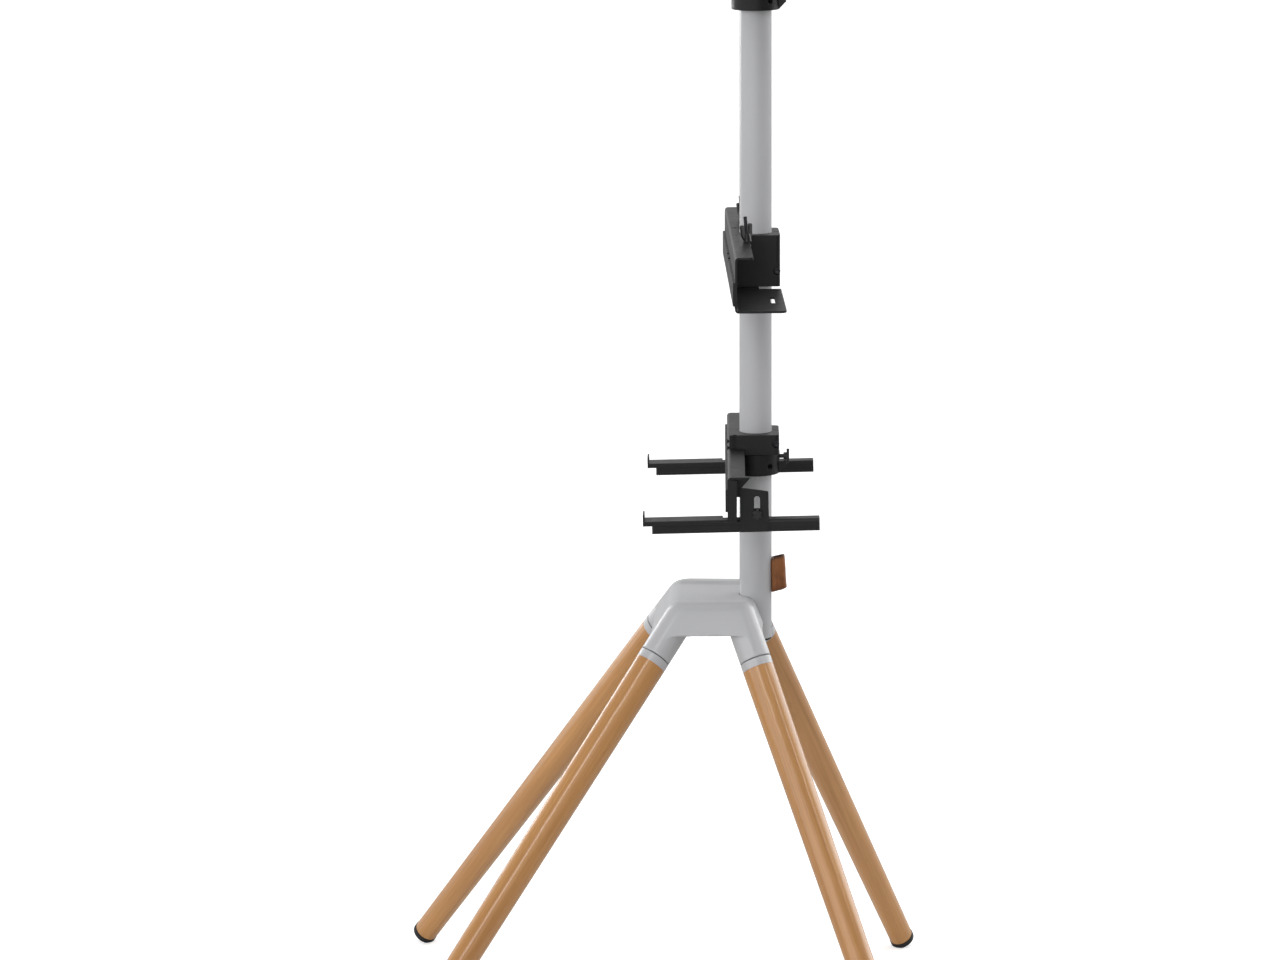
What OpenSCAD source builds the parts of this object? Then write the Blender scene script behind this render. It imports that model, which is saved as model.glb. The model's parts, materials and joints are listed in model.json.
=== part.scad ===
// Four-legged easel floor stand for a flat display.
// A round steel pole stands in a cast hub on four splayed wooden legs.
// Three pole clamps carry the lower tray-arm bracket, the middle crossbar and
// the tilting display head.  Origin: on the floor, in the middle of the feet;
// the pole's axis stands origin_y behind it.
// +Z is up, the display side faces -Y, the stand's own left is +X.

/* [Pole] */
// Outside diameter of the pole
pole_d = 40; // [38:0.5:41]
// Wall of the pole tube
pole_wall = 2.5; // [1.5:0.5:4]
// Height of the pole's open top edge above the floor
pole_top = 1380; // [1370:5:1500]
// Height of the pole's lower edge above the floor
pole_foot = 481; // [476:1:486]

// Distance of the pole's axis behind the middle of the four feet
origin_y = 127; // [120:1:135]

/* [Hub] */
// Height of the hub's top above the floor
hub_top = 537.5; // [535:0.5:544]
// Height of the hub casting between the sockets
hub_h = 35.7; // [34:0.1:40]

/* [Legs] */
// Leg diameter at the ferrule
leg_top_d = 38.8; // [34:0.2:40]
// Leg diameter at the foot
leg_foot_d = 30.4; // [26:0.1:34]
// Length of the metal ferrule that shows
ferrule_l = 9.6; // [8:0.2:16]
// Dark gap between socket and ferrule
socket_gap = 1.2; // [0.6:0.2:2]
// Length of the rubber foot pad
pad_l = 8; // [4:0.5:9]

/* [Brackets] */
// Height of the lower crossbar's top face
low_top = 719.5; // [700:0.5:740]
// Height of the middle crossbar's top face
mid_top = 983.5; // [960:0.5:1000]
// Height of the head's crossbar's top face
head_top = 1355.5; // [1345:0.5:1360]
// Half width of the crossbars
bar_half = 202.5; // [180:0.5:220]
// How much longer each half of the middle crossbar is
mid_extra = 8; // [0:0.5:12]
// Sheet thickness of crossbars and plates
sheet = 2.5; // [2:0.1:3]
// Turn of the lower bracket on the pole, in degrees
low_turn = 1.7; // [0:0.1:5]
// Turn of the middle bracket on the pole, in degrees
mid_turn = 3.3; // [0:0.1:5]
// Half distance between the two tray arms
arm_half = 171; // [165:1:178]
// Length of each tray arm
arm_len = 197; // [190:1:210]
// How far the front ends of the tray arms hang down, in degrees
arm_droop = 0.95; // [0:0.05:1.5]
// Rest turn of the left and right wing nuts, in degrees
wing_turn = [50, 65]; // [0:5:90]

/* [Display head] */
// Width and height of the display plate
plate_w = 120; // [115:1:130]
// Larger hole spacing of the display plate
vesa_a = 100; // [100]
// Smaller hole spacing of the display plate
vesa_b = 75; // [75]

/* [Leather loop] */
// Height of the leather band
loop_h = 41.6; // [36:0.2:50]
// Height of the band's lower edge above the floor
loop_z = 537; // [535:1:560]
// Thickness of the leather
loop_t = 2.6; // [2:0.2:3.4]

/* [Hidden] */
$fn = 64;

pr = pole_d/2;
hub_bot = hub_top - hub_h;
$web_f = -34;                      // front face of a crossbar's web
$web_b = $web_f + sheet;           // its back face
$bar_half = bar_half;

// leg tops (where the wood starts) and where the axes meet the floor
f0 = [87.3, -126.5, 468];  f1 = [332, -450, 0];
r0 = [86.08, 5.2, 462];   r1 = [311.5, 189.5, 0];
// every part is drawn around the pole's axis and moved back as a whole
module at_origin() { translate([0, origin_y, 0]) children(); }
function len3(v) = sqrt(v[0]*v[0] + v[1]*v[1] + v[2]*v[2]);
function leg_total(a, b) = len3(b - a);
function tilt_of(a, b) = acos((b[2] - a[2])/len3(b - a));
function turn_of(a, b) = atan2(b[1] - a[1], b[0] - a[0]);
// distance from the pad's end plane to the floor point, along the leg
pad_round = 3;
function pad_rise(a, b) = let (c = (a[2] - b[2])/len3(b - a), s = sqrt(1 - c*c))
  ((leg_foot_d/2 + 0.6 - pad_round)*s + pad_round - 1.3)/c - pad_round;
function wood_len(a, b) = leg_total(a, b) - pad_rise(a, b) - pad_l;

grey = [0.70, 0.70, 0.71];
black = [0.13, 0.13, 0.14];
wood = [0.72, 0.53, 0.34];
zinc = [0.75, 0.75, 0.77];

// local frame of a leg: z runs down the leg from the top of the wood
module leg_frame(a, b) {
  translate(a) rotate([0, tilt_of(a, b), turn_of(a, b)]) children();
}
module both_sides() { children(); mirror([1, 0, 0]) children(); }
module four_legs() {
  both_sides() { leg_frame(f0, f1) children(); leg_frame(r0, r1) children(); }
}
// plan rectangle with round corners, built from exact circles
module round_rect(x0, y0, x1, y1, r) {
  translate([x0 + r, y0]) square([x1 - x0 - 2*r, y1 - y0]);
  translate([x0, y0 + r]) square([x1 - x0, y1 - y0 - 2*r]);
  for (x = [x0 + r, x1 - r]) for (y = [y0 + r, y1 - r]) translate([x, y]) circle(r);
}
module cyl_y(r, y0, y1, x = 0, z = 0) {
  translate([x, y0, z]) rotate([-90, 0, 0]) cylinder(r = r, h = y1 - y0);
}
module cyl_x(r, x0, x1, y = 0, z = 0) {
  translate([x0, y, z]) rotate([0, 90, 0]) cylinder(r = r, h = x1 - x0);
}
// hex socket head screw, head towards +z, underside of the head at z = 0
module cap_screw(r, l, hr, hh) {
  difference() {
    union() { translate([0, 0, -l]) cylinder(r = r, h = l + 0.5);
      cylinder(r = hr, h = hh - 0.6);
      translate([0, 0, hh - 0.6]) cylinder(r1 = hr, r2 = hr - 0.6, h = 0.6); }
    translate([0, 0, hh*0.4]) cylinder(r = hr*0.55, h = hh, $fn = 6);
  }
}

// ---------------------------------------------------------------- base
module socket_solid() { translate([0, 0, -130]) cylinder(r = leg_top_d/2, h = 130 - ferrule_l - socket_gap); }
// point of a leg's axis at height z, and small vector helpers
function at_z(a, b, z) = a + (b - a)*(z - a[2])/(b[2] - a[2]);
function flip(v) = [-v[0], v[1], v[2]];
function unit(v) = v/len3(v);
// web between two leg axes, from their common plane outwards to just under
// the sockets' skin, so that the sockets run smoothly into the casting's faces
module web_between(a0, a1, b0, b1) {
  zt = hub_top + 12; zb = hub_bot - 14;
  pa = at_z(a0, a1, zb); pb = at_z(b0, b1, zb); qa = at_z(a0, a1, zt); qb = at_z(b0, b1, zt);
  u = unit(pb - pa); n = unit(cross(pb - pa, qa - pa)); v = cross(n, u);
  multmatrix([[u[0], v[0], n[0], pa[0]], [u[1], v[1], n[1], pa[1]], [u[2], v[2], n[2], pa[2]]])
    linear_extrude(leg_top_d/2 - 0.04) polygon([for (q = [pa, pb, qb, qa]) [(q - pa)*u, (q - pa)*v]]);
}
// everything on the inner side of the plane through two leg axes
module inner_side(a0, a1, b0, b1) {
  pa = at_z(a0, a1, hub_bot); pb = at_z(b0, b1, hub_bot); qa = at_z(a0, a1, hub_top);
  u = unit(pb - pa); n = unit(cross(pb - pa, qa - pa)); v = cross(n, u);
  multmatrix([[u[0], v[0], n[0], pa[0]], [u[1], v[1], n[1], pa[1]], [u[2], v[2], n[2], pa[2]]])
    translate([-300, -300, -600 + 0.01]) cube([900, 600, 600]);
}
module hub_casting() intersection() {
  union() {
    web_between(f0, f1, r0, r1);
    web_between(flip(r0), flip(r1), flip(f0), flip(f1));
    web_between(flip(f0), flip(f1), f0, f1);
    web_between(r0, r1, flip(r0), flip(r1));
    intersection() {
      inner_side(f0, f1, r0, r1);
      inner_side(flip(r0), flip(r1), flip(f0), flip(f1));
      inner_side(flip(f0), flip(f1), f0, f1);
      inner_side(r0, r1, flip(r0), flip(r1));
    }
  }
  translate([-150, -200, hub_bot]) cube([300, 300, hub_h]);
}
bolt_zs = [hub_bot + 9.3, hub_bot + 22.8];   // the two bolts that hold the pole
module base_hub() color(grey) difference() {
  union() {
    hub_casting();
    intersection() {
      four_legs() socket_solid();
      translate([-150, -200, 440]) cube([300, 300, hub_top - 440]);
    }
  }
  // shallow valley along the top
  translate([0, 1, 0]) rotate([90, 0, 0]) linear_extrude(180)
    polygon([[-56, hub_top + 0.1], [56, hub_top + 0.1], [38, hub_top - 2.8], [-38, hub_top - 2.8]]);
  // seat of the pole, open to the rear
  translate([0, 0, hub_bot - 30]) cylinder(r = pr + 0.1, h = hub_h + 60);
  translate([-pr - 0.1, 0, hub_bot - 30]) cube([pole_d + 0.2, 60, hub_h + 60]);
  // hollow underside and the step for its plate
  translate([-36, -86, hub_bot - 1]) cube([72, 48, hub_h - 5]);
  translate([-44.2, -94.2, hub_bot - 1]) cube([88.4, 60.4, sheet + 1.2]);
  for (x = [-40, 40]) for (y = [-90, -36.5]) translate([x, y, hub_bot]) cylinder(r = 1.6, h = 14);
  // holes for the two pole bolts
  for (z = bolt_zs) cyl_y(4.2, -60, 0, 0, z);
  // blind sockets for the ferrule spigots, and the grub screws' holes
  four_legs() {
    translate([0, 0, -64]) cylinder(r = 12.1, h = 70);
    translate([0, 0, -38]) rotate([0, 90, 0]) cylinder(r = 2.6, h = 30);
  }
}
module hub_underplate() color(grey) difference() {
  translate([0, 0, hub_bot]) linear_extrude(sheet) round_rect(-44, -94, 44, -34, 3);
  for (x = [-40, 40]) for (y = [-90, -36.5]) translate([x, y, hub_bot - 1]) cylinder(r = 1.65, h = 9);
}
module underplate_screws() color(zinc)
  for (x = [-40, 40]) for (y = [-90, -36.5]) translate([x, y, hub_bot]) {
    translate([0, 0, -1.4]) cylinder(r = 2.6, h = 1.4);
    translate([0, 0, -0.2]) cylinder(r = 1.4, h = 10);
  }
module pole() color(grey) difference() {
  translate([0, 0, pole_foot]) cylinder(r = pr, h = pole_top - pole_foot, $fn = 96);
  translate([0, 0, pole_foot - 1]) cylinder(r = pr - pole_wall, h = pole_top - pole_foot + 2, $fn = 96);
  for (z = bolt_zs) cyl_y(4.2, -40, 0, 0, z);
  for (z = [loop_z + 10, loop_z + loop_h - 10]) cyl_y(2.1, 0, 40, 0, z);
}
module pole_insert() color(zinc) difference() {
  translate([0, 0, pole_foot + 8]) cylinder(r = pr - pole_wall - 0.1, h = 50);
  for (z = bolt_zs) cyl_y(4.05, -30, -4, 0, z);
}
module pole_bolts() color(zinc)
  for (z = bolt_zs) translate([0, -38.1, z]) rotate([90, 0, 0]) cap_screw(4, 32, 6.5, 7);
module pole_cap() color(black) union() {
  translate([0, 0, pole_top - 12]) cylinder(r = pr - pole_wall - 0.1, h = 12.2);
  translate([0, 0, pole_top + 0.05]) rotate_extrude() {
    square([pr - 3, 4]); square([pr, 1]);
    translate([pr - 3, 1]) intersection() { circle(3); square(3); }
  }
}
module pole_foot_plug() color(black) union() {
  translate([0, 0, pole_foot - 0.3]) cylinder(r = pr - pole_wall - 0.1, h = 8.2);
  translate([0, 0, pole_foot - 2.4]) cylinder(r = pr - 0.4, h = 2.3);
}
module wooden_leg(a, b) color(wood) {
  L = wood_len(a, b);
  leg_frame(a, b) difference() {
    union() {
      translate([0, 0, 0.1]) cylinder(r1 = leg_top_d/2, r2 = leg_foot_d/2, h = L - 0.1, $fn = 96);
    }
    translate([0, 0, -1]) cylinder(r = 4.1, h = 50);
    translate([0, 0, L - 18]) cylinder(r = 4.1, h = 20);
  }
}
module leg_front_left() wooden_leg(f0, f1);
module leg_front_right() mirror([1, 0, 0]) wooden_leg(f0, f1);
module leg_rear_left() wooden_leg(r0, r1);
module leg_rear_right() mirror([1, 0, 0]) wooden_leg(r0, r1);
module leg_ferrules() color(grey) four_legs() difference() {
  union() {
    translate([0, 0, -ferrule_l]) cylinder(r = leg_top_d/2, h = ferrule_l);
    translate([0, 0, -58]) cylinder(r = 12, h = 58 - ferrule_l + 1);
    translate([0, 0, -ferrule_l - socket_gap]) cylinder(r = 12.05, h = 2);
  }
  translate([0, 0, -50]) cylinder(r = 4.1, h = 51);
}
module leg_studs() color(zinc) four_legs() translate([0, 0, -48]) cylinder(r = 4, h = 94);
module socket_grub_screws() color(black) four_legs()
  translate([0, 0, -38]) rotate([0, 90, 0]) translate([0, 0, 12.15]) difference() {
    cylinder(r = 2.5, h = 5.2);
    translate([0, 0, 3]) cylinder(r = 1.4, h = 4, $fn = 6);
  }
module pad_shape(a, b) {
  L = wood_len(a, b);
  r = leg_foot_d/2 + 0.6;
  leg_frame(a, b) {
    translate([0, 0, L + 0.05]) rotate_extrude($fn = 64) {
      square([r, pad_l - pad_round]);
      square([r - pad_round, pad_l]);
      translate([r - pad_round, pad_l - pad_round]) intersection() { circle(pad_round); square(pad_round); }
    }
    translate([0, 0, L - 16]) cylinder(r = 4, h = 18);
  }
}
module foot_pads() color([0.06, 0.06, 0.06]) both_sides() {
  intersection() { pad_shape(f0, f1); translate([250, -520, 0]) cube([160, 160, 120]); }
  intersection() { pad_shape(r0, r1); translate([230, 120, 0]) cube([160, 160, 120]); }
}
// closed leather strap loop behind the pole for cables: its front wall follows
// the pole, its end is round, and its upper and lower edges rise to the rear
nose_y = 30.1; loop_w = 7.5; loop_rise = 0.29;
module loop_plan(w) { translate([-w, 6]) square([2*w, nose_y - 6]); translate([0, nose_y]) circle(w); }
module leather_cable_loop() color([0.45, 0.26, 0.15]) difference() {
  intersection() {
    translate([0, 0, loop_z - 10]) linear_extrude(loop_h + 20) difference() {
      loop_plan(loop_w);
      difference() {
        loop_plan(loop_w - loop_t);
        circle(pr + 0.3 + loop_t);
      }
      circle(pr + 0.3, $fn = 96);
    }
    rotate([90, 0, 90]) translate([0, loop_z, -20]) linear_extrude(40)
      polygon([[5, -14*loop_rise], [45, 26*loop_rise], [45, loop_h + 26*loop_rise], [5, loop_h - 14*loop_rise]]);
  }
  for (z = [loop_z + 10, loop_z + loop_h - 10]) cyl_y(2.1, 10, 30, 0, z);
}
module loop_screws() color(zinc)
  for (z = [loop_z + 10, loop_z + loop_h - 10]) translate([0, pr + 0.4 + loop_t, z]) rotate([-90, 0, 0]) union() {
    translate([0, 0, -8]) cylinder(r = 2, h = 8.5);
    cylinder(r = 4, h = 1); translate([0, 0, 1]) cylinder(r1 = 4, r2 = 2.6, h = 1.2);
  }

// ---------------------------------------------------------------- shared bracket parts
module on_low() { $web_f = -35.1; $web_b = $web_f + sheet; rotate([0, 0, low_turn]) children(); }
module on_mid() {
  $web_f = -32.1; $web_b = $web_f + sheet; $bar_half = bar_half + mid_extra;
  rotate([0, 0, mid_turn]) children();
}

// round stop collar with a chamfered rear boss; z0 is its lower face
col_h = 26.5;
module stop_collar(z0) color(black) difference() {
  union() {
    translate([0, 0, z0]) cylinder(r = 30, h = col_h - 0.8, $fn = 96);
    translate([0, 0, z0 + col_h - 0.8]) cylinder(r1 = 30, r2 = 29.2, h = 0.8, $fn = 96);
    translate([-8, 0, z0]) rotate([90, 0, 90]) linear_extrude(16)
      polygon([[22, 0.8], [29.6, 0.8], [38.2, 9.6], [38.2, 14.6], [22, 14.6]]);
  }
  translate([0, 0, z0 - 1]) cylinder(r = pr + 0.05, h = col_h + 2, $fn = 96);
  cyl_y(2.6, 0, 50, 0, z0 + 19.6);
  // blind screw seat on the left rear side
  rotate([0, 0, 39]) cyl_x(2.4, pr - 2, 40, 0, z0 + 11);
  rotate([0, 0, 39]) cyl_x(3.6, 27.4, 40, 0, z0 + 11);
}
module thumb_screw(z0) color(black) translate([0, 0, z0 + 19.6]) {
  cyl_y(2.5, pr + 0.3, 36);
  difference() {
    cyl_y(4.5, 34.8, 39);
    for (a = [0:30:359]) rotate([0, a, 0]) translate([4.8, 34, 0]) rotate([-90, 0, 0]) cylinder(r = 0.6, h = 8, $fn = 16);
  }
  // flat grip plate across the outer end
  translate([0, 41.8, 0]) rotate([90, 0, 0]) linear_extrude(3.2) round_rect(-1.7, -8, 1.7, 9, 1.5);
}
// clamp block between z0 and z1: bored for a bush, grooved behind its front
// plate and split at the rear, with a cross screw at height zs
module clamp_block(z0, z1, zs, yr, zb) color(black) difference() {
  translate([0, 0, z0]) linear_extrude(z1 - z0) difference() {
    union() {
      translate([-32, $web_b + 0.05]) square([64, 4]);
      translate([-28, $web_b + 1]) square([56, 12]);
      round_rect(-32, -23.6, 32, yr, 5);
      translate([-32, -23.6]) square([64, 12]);
    }
    circle(pr + 2.4, $fn = 96);
    translate([-1, 0]) square([2, 60]);
  }
  cyl_x(2.65, -40, 40, yr - 4, zs);
  cyl_x(4.6, 25, 40, yr - 4, zs);
  cyl_x(4.6, -40, -25, yr - 4, zs);
  // threaded holes for the crossbar screws
  for (x = [-20, 20]) cyl_y(2.6, -40, $web_f + 11.1, x, zb);
}
module clamp_screw(zs, yr) color(zinc) translate([25.1, yr - 4, zs]) rotate([0, 90, 0]) {
  cap_screw(2.5, 50.5, 4.2, 5);
  translate([0, 0, -54.2]) cylinder(r = 4.2, h = 3.9, $fn = 6);
}
module bush(z0, z1) color([0.2, 0.2, 0.2]) difference() {
  translate([0, 0, z0]) cylinder(r = pr + 2.35, h = z1 - z0, $fn = 96);
  translate([0, 0, z0 - 1]) cylinder(r = pr + 0.08, h = z1 - z0 + 2, $fn = 96);
}
// folded channel, open to the rear: h high, flanges ft (top) and fb (bottom)
module fold(t, r) { intersection() { difference() { circle(r + t); circle(r); } translate([-r - t, 0]) square(r + t); } }
module channel(h, ft, fb) {
  r = 1.6; t = sheet;
  rotate([90, 0, 90]) translate([$web_f, 0, -$bar_half]) linear_extrude(2*$bar_half) {
    translate([0, fb > 0 ? r + t : 0]) square([t, h - (r + t) - (fb > 0 ? r + t : 0)]);
    translate([r + t, h - t]) square([ft - r - t, t]);
    translate([r + t, h - r - t]) fold(t, r);
    if (fb > 0) {
      translate([r + t, 0]) square([fb - r - t, t]);
      translate([r + t, r + t]) mirror([0, 1]) fold(t, r);
    }
  }
}
module corner_cut(x, y, r, z0, z1) {
  translate([x, y, z0]) difference() {
    translate([0, 0, 0]) cube([r + 1, r + 1, z1 - z0]);
    translate([0, 0, -1]) cylinder(r = r, h = z1 - z0 + 2);
  }
}
module bar_holes(z) { for (x = [-20, 20]) sink(x, z, $web_f, 2.5, 4.3); }
module strip_holes(z) { for (x = [-150, 150]) cyl_y(2.2, -60, -22, x, z); }
module strip_sinks(z) { for (x = [-150, 150]) sink(x, z, $web_f - sheet - 0.05, 2, 3.6); }
// countersunk hole in a face at y, and the flush screw that fills it
module sink(x, z, y, r, hr) {
  cyl_y(r + 0.2, y - 1, y + 12, x, z);
  translate([x, y - 0.01, z]) rotate([-90, 0, 0]) cylinder(r1 = hr + 0.12, r2 = r + 0.12, h = hr - r);
}
module flat_screw(r, l, hr) difference() {
  union() { translate([0, 0, -l]) cylinder(r = r, h = l - 0.1);
    translate([0, 0, -(hr - r)]) cylinder(r1 = r, r2 = hr, h = hr - r - 0.05); }
  translate([0, 0, -1.1]) cylinder(r = hr*0.36, h = 3, $fn = 6);
}
// screws of the web into the clamp, and nutted screws of the strip
module web_screws(z) for (x = [-20, 20]) translate([x, $web_f, z]) rotate([90, 0, 0]) flat_screw(2.5, 9.6, 4.3);
module strip_screws(z) for (x = [-150, 150]) translate([x, $web_f - sheet - 0.05, z]) rotate([90, 0, 0]) {
  flat_screw(2, 8.6, 3.6);
  translate([0, 0, -5.2 - 3.1]) cylinder(r = 3.8, h = 3, $fn = 6);
}
module pan_screw(r, l, hr) difference() {
  union() { translate([0, 0, -l]) cylinder(r = r, h = l + 0.3);
    cylinder(r = hr, h = 1.2); translate([0, 0, 1.2]) cylinder(r1 = hr, r2 = hr - 1.4, h = 1.2); }
  translate([0, 0, 1]) cylinder(r = hr*0.42, h = 3, $fn = 6);
}

// ---------------------------------------------------------------- lower bracket
low_z = low_top - 52.5;                    // lower edge of the lower web
low_c0 = low_top - 7.7; low_c1 = low_top + 16.8;
low_col = low_c0 - 0.4 - col_h;
module lower_stop_collar() stop_collar(low_col);
module lower_thumb_screw() thumb_screw(low_col);
low_bz = (low_c0 + low_c1)/2 - 6.4;         // height of the bar's two screws
module lower_clamp() on_low() clamp_block(low_c0, low_c1, (low_c0 + low_c1)/2 + 1, 29, low_bz);
module lower_clamp_bush() on_low() bush(low_c0, low_c1);
module lower_clamp_screw() on_low() clamp_screw((low_c0 + low_c1)/2 + 1, 29);
module lower_crossbar() color(black) on_low() difference() {
  union() {
    translate([0, 0, low_z]) channel(52.5, 21, 0);
    // folded end tabs with a rounded top
    both_sides() translate([$bar_half - sheet, 0, low_z]) rotate([90, 0, 90]) linear_extrude(sheet)
      difference() { translate([$web_b - 0.5, 0]) square([9.2, 49.2]);
        translate([$web_b + 4.7, 45.2]) difference() { square(5); circle(4); } }
  }
  // clearance for the clamp block and the pole
  translate([-32.3, $web_b + 0.01, low_z + 10]) cube([64.6, 80, 60]);
  translate([-60, $web_b + 0.01, low_z - 1]) cube([120, 80, 20]);
  bar_holes(low_bz);
  strip_holes(low_z + 24);
  for (x = [-168, 168]) for (z = [low_z + 31.5, low_z + 43.5]) cyl_y(2.2, -60, -22, x, z);
}
module lower_front_strip() color(black) on_low() difference() {
  translate([0, $web_f - 0.05, low_z + 11]) rotate([90, 0, 0]) linear_extrude(sheet)
    round_rect(-$bar_half, 0, $bar_half, 27, 2);
  strip_sinks(low_z + 24);
}
module lower_bar_screws() color(zinc) on_low() { web_screws(low_bz); strip_screws(low_z + 24); }
// tray arms: the left one is drawn, the right one mirrored inside the turned frame
arm_t = low_z - 2.7; arm_b = arm_t - 15;        // top and bottom of the arm tube
arm_y0 = -123.8; arm_y1 = arm_y0 + arm_len;
hx = arm_half + 10.2;                       // outer face of the arm tube
slot_y = 0.5; slot_lo = arm_t + 4.8; slot_hi = arm_t + 28.9;
bolt_z = slot_lo + 2.8;
// everything on an arm hangs from its knob's screw
module droop() { translate([0, slot_y, bolt_z]) rotate([arm_droop, 0, 0]) translate([0, -slot_y, -bolt_z]) children(); }
module hanger() difference() {
  union() {
    translate([hx - 2.7, 0, 0]) rotate([90, 0, 90]) linear_extrude(sheet)
      polygon([[$web_b + 0.1, low_top - 4.8], [-7.7, low_top - 4.8], [-19.5, low_top - 18], [-19.5, low_top - 21],
        [13.8, low_top - 26], [13.8, arm_t + 1.4], [-19.5, arm_t + 1.4], [-19.5, low_top - 28], [$web_b + 0.1, low_top - 28]]);
    translate([hx - 24, $web_b + 0.1, low_top - 28]) cube([22, sheet, 23.2]);
  }
  // window above the knob's screw
  translate([hx - 4, slot_y - 4.2, bolt_z + 6]) cube([6, 8.4, 18.5]);
  cyl_x(3, hx - 10, hx + 5, slot_y, bolt_z);
  for (z = [low_z + 31.5, low_z + 43.5]) cyl_y(2.2, -60, -22, 168, z);
}
module arm_hangers() color(black) on_low() both_sides() hanger();
module hanger_screws() color(zinc) on_low() both_sides()
  for (z = [low_z + 31.5, low_z + 43.5]) translate([168, $web_b + 0.2 + sheet, z]) rotate([-90, 0, 0])
    pan_screw(2, 5, 3.8);
module height_knob() union() {
  cyl_x(2.75, hx - 9, hx + 6, slot_y, bolt_z);
  cyl_x(5, hx - 7, hx - 3, slot_y, bolt_z);
  translate([hx + 3, slot_y, bolt_z]) rotate([0, 90, 0]) linear_extrude(6) union() {
    circle(4.6);
    for (a = [0:60:359]) rotate(a) translate([4.4, 0]) circle(1.7, $fn = 24);
  }
}
module height_knob_left() color(black) on_low() height_knob();
module height_knob_right() color(black) on_low() mirror([1, 0, 0]) height_knob();
module arm_tube() difference() {
  translate([0, arm_y0 + arm_len, 0]) rotate([90, 0, 0]) linear_extrude(arm_len) difference() {
    round_rect(arm_half - 10, arm_b, arm_half + 10, arm_t, 3);
    round_rect(arm_half - 8.4, arm_b + 1.6, arm_half + 8.4, arm_t - 1.6, 1.4);
  }
  for (y = [-14, 9]) cyl_x(2.1, arm_half + 5, arm_half + 14, y, arm_b + 6);
}
module arm_tube_left() color(black) on_low() droop() arm_tube();
module arm_tube_right() color(black) on_low() mirror([1, 0, 0]) droop() arm_tube();
module arm_plugs() for (e = [[arm_y0 - 2.15, arm_y0 - 0.2, arm_y0 + 12], [arm_y1 + 0.05, arm_y1 - 12, arm_y1 + 0.2]]) {
  // end cap, then the plug inside the tube
  translate([0, e[0] + 2.1, 0]) rotate([90, 0, 0]) linear_extrude(2.1)
    round_rect(arm_half - 10, arm_b, arm_half + 10, arm_t, 3);
  translate([0, e[2], 0]) rotate([90, 0, 0]) linear_extrude(e[2] - e[1])
    round_rect(arm_half - 8.3, arm_b + 1.7, arm_half + 8.3, arm_t - 1.7, 1.4);
}
module arm_plugs_left() color(black) on_low() droop() arm_plugs();
module arm_plugs_right() color(black) on_low() mirror([1, 0, 0]) droop() arm_plugs();
module slot_plate() union() {
  difference() {
    translate([hx, 0, 0]) rotate([90, 0, 90]) linear_extrude(sheet) difference() {
      polygon([[-20, arm_b + 1], [14.3, arm_b + 1], [14.3, arm_t + 33.6], [12.9, arm_t + 34.6], [-18.7, arm_t + 39.4], [-20, arm_t + 38.4]]);
      translate([slot_y, slot_lo + 3.5]) circle(3.55);
      translate([slot_y, slot_hi - 3.5]) circle(3.55);
      translate([slot_y - 3.55, slot_lo + 3.5]) square([7.1, slot_hi - slot_lo - 7]);
    }
  }
  // rivets into the arm's wall
  for (y = [-14, 9]) {
    cyl_x(2, hx - 3.2, hx + 1, y, arm_b + 6);
    cyl_x(3.4, hx + sheet - 0.3, hx + sheet + 1, y, arm_b + 6);
  }
}
module slot_plate_left() color(black) on_low() droop() slot_plate();
module slot_plate_right() color(black) on_low() mirror([1, 0, 0]) droop() slot_plate();
// sliding rail over the arm, with an upturned front lip
module tray_rail() {
  y0 = -136.8; y1 = $web_f - sheet - 3.2; w = 13;
  translate([0, y1, 0]) rotate([90, 0, 0]) linear_extrude(y1 - y0) difference() {
    union() {
      round_rect(arm_half - w, arm_t - 4.6, arm_half + w, arm_t + 1.2, 0.7);
    }
    translate([arm_half - w + 2, arm_t - 7]) square([2*w - 4, 7.25]);
  }
  translate([arm_half - w, y0, arm_t - 4.6]) translate([0, 2, 0]) rotate([90, 0, 0]) linear_extrude(2)
    round_rect(0, 0, 2*w, 13.8, 2);
}
module tray_rail_left() color(black) on_low() droop() tray_rail();
module tray_rail_right() color(black) on_low() mirror([1, 0, 0]) droop() tray_rail();

// ---------------------------------------------------------------- middle bracket
mid_h = 66.6;                                // height of the middle channel
mid_z = mid_top - mid_h;
mid_c0 = mid_z + 3; mid_c1 = mid_top - 0.3;
mid_s = mid_z + 21.8;
module middle_bush() on_mid() bush(mid_c0, mid_c1);
module middle_clamp() on_mid() clamp_block(mid_c0, mid_c1, mid_s, 29.4, (mid_c0 + mid_c1)/2);
module middle_clamp_screw() on_mid() clamp_screw(mid_s, 29.4);
hook_x = 89; hook_y = -13.3; hook_tilt = 5;
module middle_crossbar() color(black) on_mid() difference() {
  translate([0, 0, mid_z]) channel(mid_h, 22, 62);
  translate([-32.3, $web_b + 0.01, mid_z + 3]) cube([64.6, 80, 80]);
  translate([0, 0, mid_z - 1]) cylinder(r = pr + 4, h = 6);
  translate([-45.8, 2.8, mid_z - 1]) cube([91.6, 60, 5]);
  bar_holes((mid_c0 + mid_c1)/2);
  strip_holes(mid_z + 22.3);
  // rounded flange corners, square bolt holes near the ends
  both_sides() {
    corner_cut($bar_half - 8, $web_f + 62 - 8, 8, mid_z - 1, mid_z + 5);
    corner_cut($bar_half - 4, $web_f + 22 - 4, 4, mid_top - 5, mid_top + 1);
    translate([109, 13.2, mid_z - 1]) cube([43, 5.6, 5]);
    // rear notches for the hook bolts
    translate([hook_x - 2.8, hook_y, mid_top - 6]) cube([5.6, 20, 10]);
    translate([hook_x, hook_y, mid_top - 6]) cylinder(r = 2.8, h = 10);
  }
}
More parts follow.
